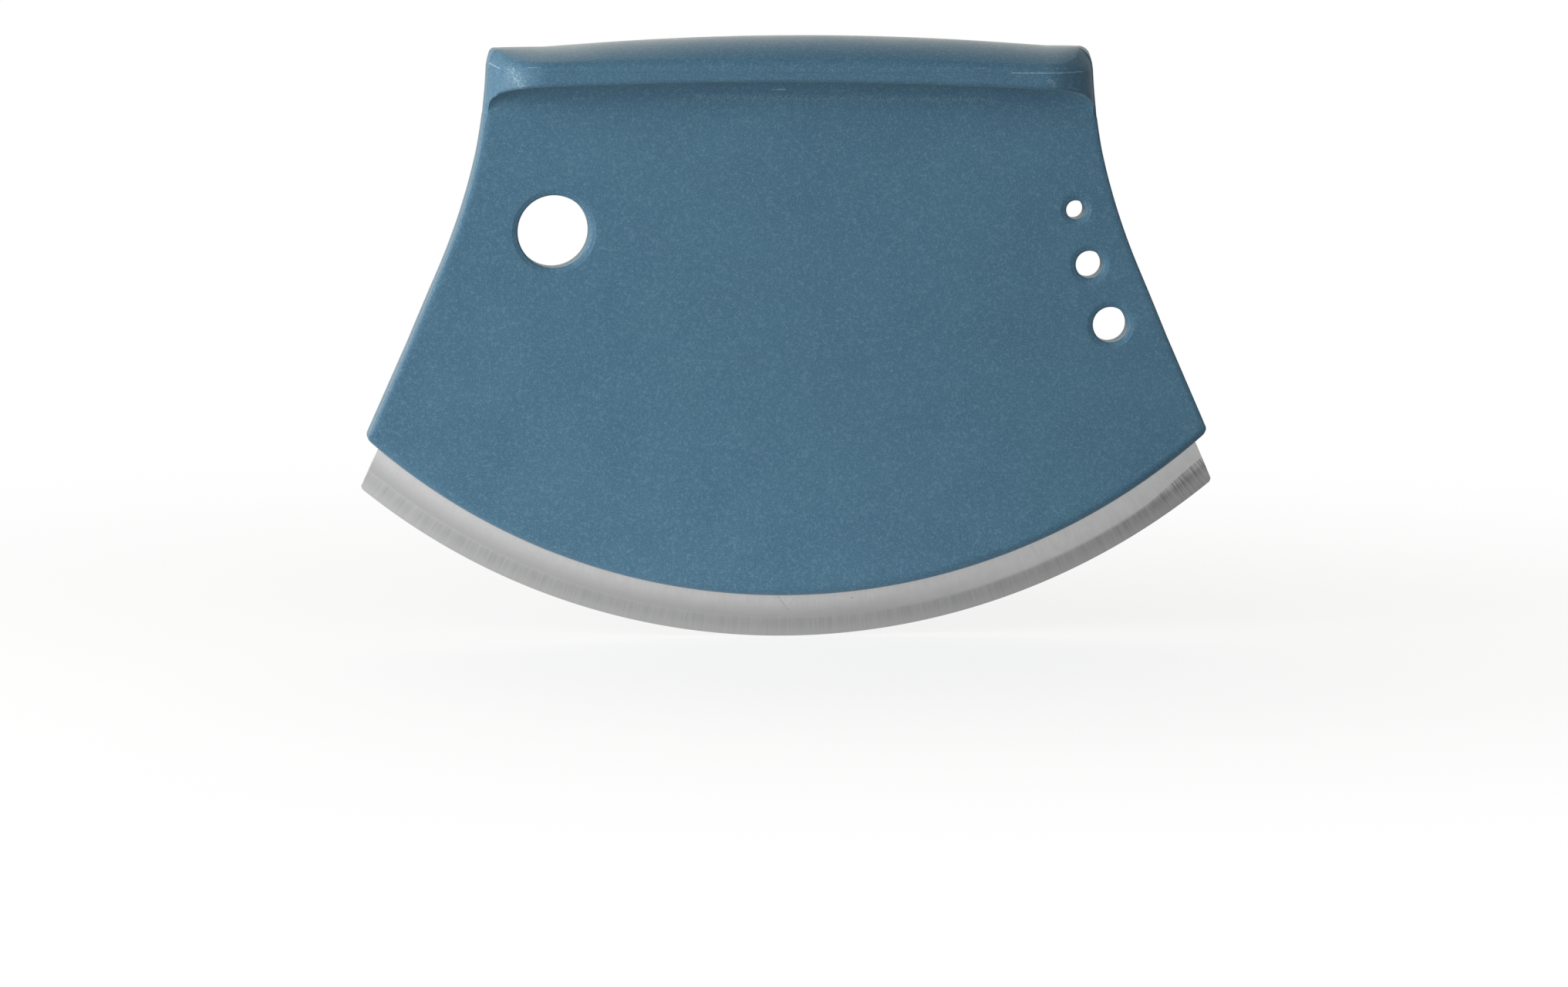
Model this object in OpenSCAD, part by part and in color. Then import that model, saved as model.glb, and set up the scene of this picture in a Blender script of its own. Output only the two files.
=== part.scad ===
/* [Blade] */
// Radius of the cutting edge
edge_r = 144; // [142:0.5:160]
// Height of steel that shows below the handle
blade_show = 8.8; // [6:0.2:12]
// Thickness of the steel
blade_t = 1.5; // [1:0.1:2]
// Thickness left at the cutting edge
edge_t = 0.3; // [0.2:0.05:0.5]
// Height of the ground bevel above the cutting edge
bevel_h = 3.9; // [2:0.1:5.5]
// Height of the tang that is hidden in the handle
tang_h = 21; // [18:0.5:24]
// Distance from the side of the handle to the end of the blade
blade_inset = 3.2; // [2.6:0.1:5]
// Diameter of the anchor holes in the tang
anchor_d = 5.4; // [4.5:0.1:6.5]
// Number of anchor holes
anchor_count = 5; // [3:1:7]
// Depth of the anchor holes inside the handle
anchor_depth = 12; // [9:0.5:14]

/* [Handle plate] */
// Thickness of the plate that joins the blade to the grip
plate_t = 6; // [5:0.2:8]
// Slope of the straight sides, from the vertical
side_angle = 23.7; // [20:0.1:26]
// Radius of the waist below the grip
waist_r = 120; // [100:1:140]
// Slope of the sides where they reach the parting line of the grip
seam_slope = 2.5; // [1:0.5:4]
// Rounding of the plate's side edges
side_edge_r = 1.4; // [0.5:0.1:1.6]
// Rounding of the plate's lower edge, beside the blade
lower_edge_r = 1.6; // [0.8:0.1:1.8]

/* [Grip] */
// Length of the grip at its parting line
grip_len = 129.2; // [120:0.2:136]
// Width of the grip
grip_w = 24; // [20:0.5:28]
// Height of the grip's parting line above the cutting edge
seam_z = 121.4; // [115:0.1:130]
// Height of the crown above the parting line, at the middle
crown_h = 6.9; // [5.5:0.1:9]
// Height of the crown above the parting line, at the ends
crown_end_h = 4.4; // [3.8:0.1:5]
// Height of the upright band between the parting line and the shoulder
shoulder_h = 1.2; // [1:0.1:2.5]
// Draft of that band
shoulder_in = 0.5; // [0.2:0.1:1]
// Rounding of the crown's ends
crown_end_r = 2; // [0.8:0.1:2.4]
// Thickness of the flange under the parting line, at the middle
flange_h = 2; // [1.6:0.1:3]
// Extra thickness of the flange towards its ends
flange_sag = 0.9; // [0:0.1:2]
// Radius of the recess corners, seen from the front
recess_r = 14; // [10:0.5:18]
// Fillet between the plate and the flange
fillet_r = 3; // [2:0.5:6]

/* [Holes] */
// Diameter of the hanging hole
hang_d = 15.4; // [10:0.2:18]
// Distance of the hanging hole from the middle
hang_x = 50.4; // [40:0.2:54]
// Height of the hanging hole
hang_z = 87.1; // [78:0.1:94]
// Diameter of the smallest herb stripping hole
strip_d_top = 4; // [3:0.1:5]
// Diameter of the middle herb stripping hole
strip_d_mid = 5.8; // [5:0.1:6.6]
// Diameter of the largest herb stripping hole
strip_d_low = 7.5; // [6.6:0.1:8.5]
// Height of the smallest hole
strip_z_top = 90.9; // [89:0.1:95]
// Height of the middle hole
strip_z_mid = 79.2; // [77:0.1:82]
// Height of the largest hole
strip_z_low = 66.3; // [64:0.1:69]
// Plastic left between a stripping hole and the side of the plate
strip_margin = 6.4; // [5:0.1:8]
// Rounding of every hole's rim
rim_r = 0.75; // [0.4:0.05:0.9]

/* [Assembly] */
// Wall of the hollow grip cap
cap_wall = 2; // [1.6:0.1:2.4]
// Thickness of the cap's cross ribs
rib_t = 1.4; // [1:0.1:2]
// Diameter of the cap's locking pegs
peg_d = 3.2; // [2.6:0.1:3.4]
// Length of the pegs below the parting line
peg_h = 5.5; // [4:0.5:6]
// Distance between two pegs
peg_pitch = 23; // [18:0.5:24]
// Thickness of the upstand
upstand_t = 1.4; // [1:0.1:1.8]
// Diameter of the posts that join the two shells
post_d = 4; // [3:0.1:5]
// Plastic left behind each post socket
socket_floor = 1; // [0.8:0.1:1.4]
// Clearance of every fitted joint
fit_gap = 0.1; // [0.05:0.01:0.2]

/* [Hidden] */
$fn = 96;
ARC_FN = 360;
PLASTIC = [0.29, 0.44, 0.53];
STEEL = [0.78, 0.79, 0.80];
OVER = 1;
SKIN = 0.02;
ROOT = 0.5;

flange_drop = 11.7;
flange_foot = 0.6;
flange_rise = 0.15;
fillet_step = 15;
fillet_last = 90 / fillet_step + 1;
corner_step = 15;
rib_steps = 4;
level_share = 0.9;
level_power = 1.5;
handle_r = edge_r - blade_show;
tang_r = handle_r - tang_h;
anchor_r = handle_r - anchor_depth;
end_r = grip_w / 2;
end_x = grip_len / 2 - end_r;
waist_x = grip_len / 2 + waist_r * cos(seam_slope);
waist_z = seam_z + waist_r * sin(seam_slope);
side_x = waist_x - waist_r * cos(side_angle);
side_z = waist_z - waist_r * sin(side_angle);
flange_z = seam_z - flange_drop;
recess_top = seam_z - flange_h;
recess_x = end_x + 1.2;
recess_z = recess_top - flange_sag - recess_r;
upstand_inset = cap_wall + shoulder_in + fit_gap;
turn_steps = [15, 30, 45, 60, 70, 78, 84, 90];
span_steps = 6;
waist_steps = 14;
least_half = 0.4;
post_spots = [[-22, 100], [22, 100], [-22, 70], [22, 70], [-62, 58], [56, 56], [0, 48]];
peg_xs = [-2 * peg_pitch, -peg_pitch, 0, peg_pitch, 2 * peg_pitch];
anchor_step = 11.5;

// Half width of the handle at height z, where its sides are straight
function side_at(z) = side_x + (side_z - z) * tan(side_angle);

// Distance from the middle to a point that lies inset from the side, at height z
function inset_at(z, inset) = z < side_z
    ? side_at(z) - inset / cos(side_angle)
    : waist_x - sqrt(pow(waist_r + inset, 2) - pow(waist_z - z, 2));

// Half width of the handle at height z, at the waist and the grip
function waist_at(z) = waist_x - sqrt(pow(waist_r, 2) - pow(waist_z - z, 2));

// Half width of the handle at any height z
function width_at(z) = z < side_z ? side_at(z) : waist_at(z);

// Half thickness of the plate at distance d from its side edge
function web_at(d) = plate_t / 2 - side_edge_r
    + (d < side_edge_r ? sqrt(pow(side_edge_r, 2) - pow(side_edge_r - d, 2)) : side_edge_r);

// Height of the flange's lower edge at distance x from the middle
function arch_at(x) = abs(x) < recess_x
    ? recess_top - flange_sag * pow(x / recess_x, 2)
    : recess_z + sqrt(pow(recess_r, 2) - pow(abs(x) - recess_x, 2));

// Places along the grip: [start, share of the end radius to add to it]
stations = concat(
    [for (i = [len(turn_steps) - 1:-1:0]) [-end_x, -sin(turn_steps[i])]],
    [for (i = [-span_steps:span_steps]) [i * end_x / span_steps, 0]],
    [for (turn = turn_steps) [end_x, sin(turn)]]
);

// Half width of the grip at a station, where its round end has this radius, drawn in by inset
function grip_half(station, radius, inset = 0) =
    let (share = abs(station[1]))
    max(
        (radius - inset) * sqrt(1 - share * share),
        web_at(radius * (1 - share)) - inset,
        least_half
    );

// Angle of each anchor hole about the centre of the cutting edge
function anchor_angle(i) = (i - (anchor_count - 1) / 2) * anchor_step;

// Turns a flat outline in x and z into a slab of the given thickness
module slab(thickness) {
    rotate([90, 0, 0])
        linear_extrude(thickness, center = true)
            children();
}

// Revolves a profile about an axis that runs front to back through (x, z)
module turned(x, z) {
    translate([x, 0, z])
        rotate([90, 0, 0])
            rotate_extrude($fn = ARC_FN)
                children();
}

// Flat oval of the grip, seen from above, drawn in by inset
module grip_oval(inset = 0) {
    square([2 * end_x, grip_w - 2 * inset], center = true);
    for (side = [-1, 1])
        translate([side * end_x, 0])
            circle(end_r - inset);
}

// Section of a wall removed up to x = 0, with rounded edges on what stays
module edge_cut(edge, thickness, depth) {
    flat = thickness / 2 - edge;
    difference() {
        translate([-edge, -depth])
            square([depth + edge, 2 * depth]);
        translate([-2 * edge, -flat])
            square([2 * edge, 2 * flat]);
        for (side = [-1, 1])
            translate([-edge, side * flat])
                circle(edge);
    }
}

// Round hole through the plate with rounded rims
module rimmed_hole(x, z, radius, edge) {
    reach = radius + plate_t;
    turned(x, z)
        intersection() {
            translate([0, -plate_t])
                square([reach, 2 * plate_t]);
            translate([radius, 0])
                mirror([1, 0])
                    edge_cut(edge, plate_t, reach);
        }
}

// Front half of a horizontal section of the plate, with its rounded corners
function plate_ring(z) =
    let (half = width_at(z), flat = plate_t / 2 - side_edge_r)
    concat(
        [[-half, 0, z]],
        [for (turn = [0:corner_step:90]) corner_point(-1, half, flat, turn, z)],
        [for (turn = [90:-corner_step:0]) corner_point(1, half, flat, turn, z)],
        [[half, 0, z]]
    );

// Point on a rounded corner of that section
function corner_point(side, half, flat, turn, z) =
    [side * (half - side_edge_r * (1 - cos(turn))), -flat - side_edge_r * sin(turn), z];

// Closed loft through rings of points, each inside the same number of points
module ring_loft(rings) {
    cols = len(rings[0]);
    last = (len(rings) - 1) * cols;
    polyhedron(
        [for (ring = rings) for (point = ring) point],
        concat(
            [[for (j = [0:cols - 1]) j], [for (j = [cols - 1:-1:0]) last + j]],
            [for (i = [0:len(rings) - 2]) for (j = [0:cols - 1])
                let (a = i * cols + j, b = i * cols + (j + 1) % cols)
                for (face = [[a, a + cols, b + cols], [a, b + cols, b]])
                    face]
        )
    );
}

// Front half of the plate, with arched lower edge, straight sides, concave waist and holes
module plate_half() {
    rise = (flange_z + flange_foot - side_z) / waist_steps;
    levels = concat([0], [for (i = [0:waist_steps]) side_z + i * rise]);
    difference() {
        intersection() {
            ring_loft([for (z = levels) plate_ring(z)]);
            turned(0, edge_r)
                rim_disc(handle_r, lower_edge_r);
        }
        rimmed_hole(-hang_x, hang_z, hang_d / 2, rim_r);
        strip_hole(strip_z_top, strip_d_top);
        strip_hole(strip_z_mid, strip_d_mid);
        strip_hole(strip_z_low, strip_d_low);
    }
}

// Half section of a disc with a rounded rim, a little thicker than the plate
module rim_disc(radius, edge) {
    flat = plate_t / 2 - edge;
    bow = edge + SKIN;
    translate([0, -flat - bow])
        square([radius - bow, 2 * (flat + bow)]);
    translate([0, -flat])
        square([radius, 2 * flat]);
    for (side = [-1, 1])
        translate([radius - bow, side * flat])
            circle(bow);
}

// Closed solid between two grids of points, the outer one first
module grid_solid(outer, inner) {
    rows = len(outer);
    cols = len(outer[0]);
    points = [for (grid = [outer, inner]) for (row = grid) for (point = row) point];
    far = rows * cols;
    function at(i, j) = i * cols + j;
    function quad(a, b, c, d) = [[a, b, c], [a, c, d]];
    faces = [
        for (i = [0:rows - 2]) for (j = [0:cols - 2])
            for (face = concat(
                quad(at(i, j), at(i, j + 1), at(i + 1, j + 1), at(i + 1, j)),
                quad(far + at(i, j), far + at(i + 1, j), far + at(i + 1, j + 1), far + at(i, j + 1))))
                face,
        for (i = [0:rows - 2])
            for (face = concat(
                quad(far + at(i, 0), at(i, 0), at(i + 1, 0), far + at(i + 1, 0)),
                quad(at(i, cols - 1), far + at(i, cols - 1), far + at(i + 1, cols - 1), at(i + 1, cols - 1))))
                face,
        for (j = [0:cols - 2])
            for (face = concat(
                quad(far + at(0, j), far + at(0, j + 1), at(0, j + 1), at(0, j)),
                quad(at(rows - 1, j), at(rows - 1, j + 1), far + at(rows - 1, j + 1), far + at(rows - 1, j))))
                face
    ];
    polyhedron(points, faces);
}

// Point on the front of the flange, at a station and a step up its section
function flange_point(station, step) =
    let (
        x = station[0] + end_r * station[1],
        edge_z = arch_at(x),
        radius = min(fillet_r, edge_z - flange_z - flange_foot),
        turn = (step - 1) * fillet_step,
        z = step == 0 ? flange_z
            : step <= fillet_last ? edge_z - radius + radius * sin(turn)
            : step == fillet_last + 1 ? edge_z + flange_rise
            : seam_z,
        end = waist_at(z) - end_x,
        web = web_at(end * (1 - abs(station[1]))) + SKIN,
        full = grip_half(station, end_r),
        rise = step == 0 ? 0 : radius * (1 - cos(turn))
    )
    [station[0] + (end + SKIN) * station[1], step <= fillet_last ? -min(full, web + rise) : -full, z];

// Front half of the flange that carries the grip, filleted into the plate
module flange_half() {
    outer = [for (station = stations) [for (step = [0:fillet_last + 2]) flange_point(station, step)]];
    inner = [for (row = outer) [for (point = row) [point[0], 0, point[2]]]];
    grid_solid(outer, inner);
}

// One stripping hole, set in from the right side of the plate
module strip_hole(z, d) {
    rimmed_hole(inset_at(z, strip_margin + d / 2), z, d / 2, rim_r);
}

// Outline of the steel, grown by gap at its ends and top
module steel_outline(gap = 0) {
    inset = (blade_inset - gap) / cos(side_angle);
    top = side_z;
    intersection() {
        translate([0, edge_r])
            difference() {
                circle(edge_r + 4 * gap, $fn = ARC_FN);
                circle(tang_r - gap, $fn = ARC_FN);
            }
        polygon([
            [-side_at(0) + inset, 0],
            [side_at(0) - inset, 0],
            [side_at(top) - inset, top],
            [-side_at(top) + inset, top]
        ]);
    }
}

// Places its children at every anchor hole, along y
module at_anchors() {
    for (i = [0:anchor_count - 1])
        translate([anchor_r * sin(anchor_angle(i)), 0, edge_r - anchor_r * cos(anchor_angle(i))])
            rotate([90, 0, 0])
                children();
}

// Places its children at every shell post, along y
module at_posts() {
    for (spot = post_spots)
        translate([spot[0], 0, spot[1]])
            rotate([90, 0, 0])
                children();
}

// Space for the tang between the shells
module tang_pocket() {
    slab(blade_t)
        steel_outline(fit_gap);
}

// Holes for the cap's pegs, shared by both shells
module peg_sockets() {
    for (x = peg_xs)
        translate([x, 0, seam_z - peg_h - fit_gap])
            cylinder(peg_h + OVER, d = peg_d + 2 * fit_gap);
}

// Front half of the low wall that stands on the flange and centres the cap
module upstand_half() {
    translate([0, 0, seam_z - ROOT])
        linear_extrude(ROOT + band_at(cap_wall) - fit_gap)
            difference() {
                intersection() {
                    grip_oval(upstand_inset);
                    translate([-grip_len / 2, -grip_w])
                        square([grip_len, grip_w]);
                }
                grip_oval(upstand_inset + upstand_t);
            }
}

// Front half of the handle form, with its share of the tang's pocket and the peg sockets
module half_shell() {
    difference() {
        union() {
            plate_half();
            flange_half();
            upstand_half();
        }
        tang_pocket();
        peg_sockets();
    }
}

// Height of the upright band above the parting line, drawn in by inset
function band_at(inset) = shoulder_h * (1 - inset / crown_end_h);

// Height of the crown's ridge above the parting line: an arch that runs out level at both ends
function ridge_at(x) =
    let (share = x / (level_share * grip_len / 2))
    crown_end_h + (crown_h - crown_end_h) * pow(max(0, 1 - share * share), level_power);

// Point on the top of the cap, drawn in by inset
function dome_point(station, share, inset) =
    let (
        draw = inset + shoulder_in,
        x = station[0] + (end_r - draw) * station[1],
        y = grip_half(station, end_r, draw) * share,
        over = max(0, abs(x) - end_x - end_r + draw + crown_end_r),
        crown = ridge_at(x) - inset - crown_end_r + sqrt(pow(crown_end_r, 2) - pow(over, 2)),
        band = band_at(inset)
    )
    [x, y, seam_z + band + (crown - band) * (1 - pow(y / (end_r - draw), 2))];

// Point on the underside of the cap, below dome_point
function base_point(station, share, inset, drop) =
    [station[0] + (end_r - inset) * station[1], grip_half(station, end_r, inset) * share, seam_z - drop];

// Domed form of the cap, or its cavity when it is drawn in by inset
module dome(inset, drop, steps) {
    shares = [for (j = [-steps:steps]) sin(j * 90 / steps)];
    grid_solid(
        [for (station = stations) [for (share = shares) dome_point(station, share, inset)]],
        [for (station = stations) [for (share = shares) base_point(station, share, inset, drop)]]
    );
}

// Cross rib inside the cap, rooted in the middle of its wall
module cap_rib(x) {
    root = cap_wall / 2;
    half = end_r - upstand_inset - upstand_t - fit_gap;
    spread = half / (end_r - root - shoulder_in);
    crest = [for (j = [rib_steps:-1:-rib_steps]) dome_point([x, 0], spread * j / rib_steps, root)];
    translate([x, 0, 0])
        rotate([90, 0, 90])
            linear_extrude(rib_t, center = true)
                polygon(concat(
                    [[-half, seam_z + fit_gap], [half, seam_z + fit_gap]],
                    [for (point = crest) [point[1], point[2]]]
                ));
}

module blade() {
    bevel_y = blade_t / 2;
    color(STEEL)
        difference() {
            intersection() {
                slab(2 * blade_t)
                    steel_outline();
                turned(0, edge_r)
                    polygon([
                        [0, -bevel_y],
                        [edge_r - bevel_h, -bevel_y],
                        [edge_r, -edge_t / 2],
                        [edge_r, edge_t / 2],
                        [edge_r - bevel_h, bevel_y],
                        [0, bevel_y]
                    ]);
            }
            at_anchors()
                cylinder(3 * blade_t, d = anchor_d, center = true);
        }
}

module front_shell() {
    reach = plate_t / 2 - socket_floor - fit_gap;
    color(PLASTIC) {
        half_shell();
        at_posts()
            translate([0, 0, -reach])
                cylinder(reach + ROOT, d = post_d);
        at_anchors()
            translate([0, 0, -reach])
                cylinder(reach + blade_t / 2 + ROOT, d = anchor_d - 2 * fit_gap);
    }
}

module back_shell() {
    depth = plate_t / 2 - socket_floor;
    color(PLASTIC)
        difference() {
            mirror([0, 1, 0])
                half_shell();
            at_posts()
                translate([0, 0, -depth])
                    cylinder(depth + OVER, d = post_d + 2 * fit_gap);
            at_anchors()
                translate([0, 0, -depth])
                    cylinder(depth + OVER, d = anchor_d);
        }
}

module grip_cap() {
    color(PLASTIC) {
        difference() {
            dome(0, 0, 8);
            dome(cap_wall, OVER, 4);
        }
        for (x = peg_xs) {
            cap_rib(x);
            translate([x, 0, seam_z - peg_h])
                cylinder(peg_h + crown_end_h - cap_wall, d = peg_d);
        }
    }
}

blade();
front_shell();
back_shell();
grip_cap();
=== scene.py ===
"""Looks for the herb knife: moulded plastic handle, domed grip cap and brushed steel blade.

Every shape is a grid of points worked out in millimetres and turned into a mesh in metres.
"""
import math

import bpy
import numpy as np
from mathutils import Matrix, Vector


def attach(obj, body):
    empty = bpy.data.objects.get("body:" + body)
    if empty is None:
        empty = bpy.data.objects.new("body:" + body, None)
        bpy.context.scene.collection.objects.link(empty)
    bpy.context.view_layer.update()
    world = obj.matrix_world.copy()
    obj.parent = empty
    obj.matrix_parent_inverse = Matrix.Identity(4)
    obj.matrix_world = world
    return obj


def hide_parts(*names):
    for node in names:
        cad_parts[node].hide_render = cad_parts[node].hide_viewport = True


MM = 0.001

# Heights are in millimetres from the lowest point of the cutting edge. Edge, handle and tang are
# arcs round one centre, which is EDGE_R above that point
EDGE_R = 144.0
HANDLE_R = 135.2
TANG_R = 114.2
BEVEL = 3.9

# Plate: half thickness, rounding of the lower rim, small round edge of the sides with the slope
# behind it, rounding of the two lower corners, gap to the parting plane and chamfer beside it
PLATE_HALF = 3.0
RIM_ROUND = 2.0
SIDE_ROUND = 0.4
SIDE_SOFT = 1.4
SIDE_FALL = 0.3
CORNER_ROUND = 1.3
PARTING = 0.02
CHAMFER = 0.12

# Grip: the seam with the cap drops by SEAM_TILT per millimetre from left to right, and the oval's
# round ends start at END_X
SEAM_Z = 121.4
SEAM_LIFT = 0.15
SEAM_TILT = 0.0085
SEAM_ROUND = 0.03
GRIP_HALF = 12.0
GRIP_LEN = 129.2
END_X = GRIP_LEN / 2 - GRIP_HALF

# Under the grip: fillet's radius, level below the seam that it stays above, and by how much
FILLET = 3.0
FLANGE_DROP = 11.7
FLANGE_CLEAR = 0.6

# Sides: the waist's arc leaves the seam at a slope and meets the straight side at SIDE_X, SIDE_Z
SIDE_ANGLE = math.radians(23.7)
WAIST_R = 120.0
SEAM_SLOPE = math.radians(2.5)
WAIST_X = GRIP_LEN / 2 + WAIST_R * math.cos(SEAM_SLOPE)
WAIST_Z = SEAM_Z + WAIST_R * math.sin(SEAM_SLOPE)
SIDE_OUT = -0.05
SIDE_X = WAIST_X - WAIST_R * math.cos(SIDE_ANGLE) + SIDE_OUT
SIDE_Z = WAIST_Z - WAIST_R * math.sin(SIDE_ANGLE)
FADE_Z, FADE = 108, 10
FULL_BY, FULL_Z, FULL_REACH = 0.28, 84, 20

# Holes through the plate: x, z, radius
HOLES = ((-50.4, 87.1, 7.7), (61.16, 90.9, 2.0), (64.2, 79.2, 2.9), (68.83, 66.3, 3.75))
# A hole's rim from outside in: distance out from the hole, depth below the plate's face
HOLE_RIM = np.array((
    (1.3, 0.0), (1.24, 0.015), (1.16, 0.05), (1.05, 0.1), (0.9, 0.15), (0.7, 0.2),
    (0.5, 0.27), (0.32, 0.36), (0.17, 0.48), (0.06, 0.64), (0.0, 0.85),
))
# A hole's wall: how much wider it is at the parting plane, steps round it, and how far out from
# the hole the plate's own faces start again
HOLE_FLARE = 0.25
HOLE_STEPS = 96
HOLE_CLEAR = 1.85

# Pale marks on the front, rubs and painted highlights along the seam: two ends as x and z, half width,
# gaps from 0 to 1, strength
RUBS_AND_SEAM_HIGHLIGHTS = (
    # Painted highlight along the seam at the grip's right end
    (46.0, 121.17, 61.5, 121.03, 0.2, 0.36, 0.85),
    # Rub marks
    (38.0, 122.2, 40.6, 122.2, 0.16, 0.5, 0.7),
    (52.3, 122.1, 57.6, 122.0, 0.5, 0.56, 0.6),
    (54.0, 119.6, 55.0, 118.6, 1.5, 0.52, 0.75),
    (58.6, 117.9, 60.6, 117.2, 0.5, 0.55, 0.6),
    # Painted highlight along the seam at the grip's left end
    (-64.3, 123.0, -62.6, 122.3, 0.2, 0.36, 0.8),
    # Rub marks
    (-60.6, 122.2, -58.6, 119.0, 2.3, 0.52, 0.65),
    (-57.0, 122.9, -54.5, 122.9, 0.22, 0.5, 0.7),
    (-50.9, 120.3, -50.5, 120.2, 0.3, 0.5, 0.6),
    (-4.2, 117.1, -1.4, 117.05, 0.26, 0.42, 0.85),
    (-20.0, 115.6, 44.0, 114.6, 1.7, 0.56, 0.42),
    (22.0, 122.4, 38.0, 122.3, 0.3, 0.6, 0.5),
)
SCRATCHES = (
    (-1.9, 8.6, 0.3, 5.6, 0.11, 0.4, 0.5),
    (1.7, 8.4, 0.3, 5.6, 0.09, 0.42, 0.4),
    (14.0, 8.1, 14.1, 8.1, 0.16, 0.2, 0.7),
    (43.0, 18.1, 43.1, 18.1, 0.16, 0.2, 0.6),
)

# Meshes: points that are equal to this many decimals of a millimetre become one, and edges
# sharper than this angle in degrees stay sharp
MERGE_DECIMALS = 4
SHARP_ANGLE = 40

# Camera: pixels across the photograph and how many of them one millimetre takes at the knife
PHOTO_WIDTH = 2033
PIXELS_PER_MM = 6.1
SENSOR = 36

WHITE = (1, 1, 1, 1)


def quarter(steps):
    """Turns up to 90 degrees in even steps, in radians, without the start."""
    return np.radians(np.linspace(0, 90, steps + 1))[1:]


def shares(steps):
    """Shares up to 1 in even steps, without the start."""
    return np.linspace(0, 1, steps + 1)[1:]


def smooth_min(a, b, reach):
    """Smaller of two values, blended over the given reach where they are close."""
    mix = np.clip(0.5 + 0.5 * (b - a) / reach, 0, 1)
    return b + (a - b) * mix - reach * mix * (1 - mix)


def sheet_of(grid, flip=False, keep=None):
    """A grid of points, rows by columns by three, as points and four-cornered faces.

    Faces go along the columns and then up the rows; keep says which of them stay.
    """
    rows, cols = grid.shape[:2]
    corner = np.arange(rows - 1)[:, None] * cols + np.arange(cols - 1)[None, :]
    corner = corner.ravel() if keep is None else corner[keep]
    faces = np.stack([corner, corner + 1, corner + cols + 1, corner + cols], axis=1)
    return grid.reshape(-1, 3), faces[:, ::-1] if flip else faces


def mesh_piece(name, sheets, material):
    """Joins sheets of points and faces into one closed mesh, and turns millimetres into metres.

    Points that lie on each other become one. A face loses each corner that is the same point as
    the corner before it, and a face with fewer than three corners left goes.
    """
    counts = np.cumsum([0] + [len(points) for points, _ in sheets])
    points = np.concatenate([points for points, _ in sheets])
    faces = np.concatenate([faces + start for (_, faces), start in zip(sheets, counts)])
    _, first, index = np.unique(np.round(points, MERGE_DECIMALS), axis=0, return_index=True,
                                return_inverse=True)
    faces = index.reshape(-1)[faces]
    corners = faces != np.roll(faces, 1, axis=1)
    whole = corners.sum(axis=1) > 2
    faces, corners = faces[whole], corners[whole]
    sides = corners.sum(axis=1)

    mesh = bpy.data.meshes.new(name)
    mesh.vertices.add(len(first))
    mesh.vertices.foreach_set("co", (points[first] * MM).astype(np.float32).ravel())
    mesh.loops.add(int(sides.sum()))
    mesh.loops.foreach_set("vertex_index", faces[corners].astype(np.int32))
    mesh.polygons.add(len(faces))
    mesh.polygons.foreach_set("loop_start", (np.cumsum(sides) - sides).astype(np.int32))
    mesh.update(calc_edges=True)
    mesh.validate()
    mesh.shade_smooth()
    mesh.set_sharp_from_angle(angle=math.radians(SHARP_ANGLE))
    piece = bpy.data.objects.new(name, mesh)
    bpy.context.collection.objects.link(piece)
    mesh.materials.append(material)
    return piece


def weigh_normals(piece):
    """Lets large faces lead the shading, so flat faces stay flat up to their rounded edges."""
    modifier = piece.modifiers.new("weigh", "WEIGHTED_NORMAL")
    modifier.keep_sharp = True
    modifier.weight = 80


# Shape of the handle ---------------------------------------------------------------------------

def half_width(z):
    """Half width of the handle at height z: the waist's arc above, the straight side below.

    Two corrections follow the photograph. SIDE_OUT moves the straight side, and the arc with it
    from nothing at FADE_Z to the whole of it FADE lower. Both are fuller by a parabola, which
    stands out by FULL_BY at the height FULL_Z and ends FULL_REACH from it.
    """
    moved = SIDE_OUT * np.clip((FADE_Z - z) / FADE, 0, 1)
    arc = WAIST_X - np.sqrt(WAIST_R ** 2 - (WAIST_Z - z) ** 2) + moved
    side = SIDE_X + (SIDE_Z - z) * math.tan(SIDE_ANGLE)
    fuller = FULL_BY * np.maximum(1 - ((z - FULL_Z) / FULL_REACH) ** 2, 0)
    return np.where(z > SIDE_Z, arc, side) + fuller


def round_over(depth, radius):
    """How much a quarter circle takes off the half thickness at a distance in from the outline."""
    return radius * (1 - np.sqrt(1 - np.clip(1 - depth / radius, 0, 1) ** 2))


def edge_profile(depth):
    """Half thickness at a distance in from the side: a small round edge, then a gentle slope to flat."""
    slope = SIDE_FALL * np.clip(1 - depth / SIDE_SOFT, 0, 1) ** 2
    return PLATE_HALF - slope - round_over(depth, SIDE_ROUND)


def stations(turns, spans):
    """Places along the grip: where each starts, and its share of the round end's radius.

    A place's x is its start plus its share of what the half width has beyond END_X. The shares at
    an end are sines of even turns, so the places get closer towards the side.
    """
    share = np.sin(np.linspace(0, math.pi / 2, turns + 1))[1:]
    middle = np.linspace(-END_X, END_X, spans + 1)
    start = np.concatenate([np.full(turns, -END_X), middle, np.full(turns, END_X)])
    return start, np.concatenate([-share[::-1], np.zeros(spans + 1), share])


def across(place, z):
    """Distance of each station from the middle at height z, following the sides of the handle."""
    start, share = place
    return start + share * (half_width(z) - END_X)


def side_thickness(place, z):
    """Half thickness near the sides, from the distance to the side of the handle."""
    return edge_profile((half_width(z) - END_X) * (1 - np.abs(place[1])) * math.cos(SIDE_ANGLE))


def arc_height(place, radius, lowest=5.0, highest=70.0, halvings=50):
    """Height at which each station meets the circle of this radius, found by halving."""
    low, high = np.full(len(place[0]), lowest), np.full(len(place[0]), highest)
    for _ in range(halvings):
        mid = (low + high) / 2
        x = across(place, mid)
        below = mid < EDGE_R - np.sqrt(np.maximum(radius ** 2 - x ** 2, 0))
        low, high = np.where(below, mid, low), np.where(below, high, mid)
    return high


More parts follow.
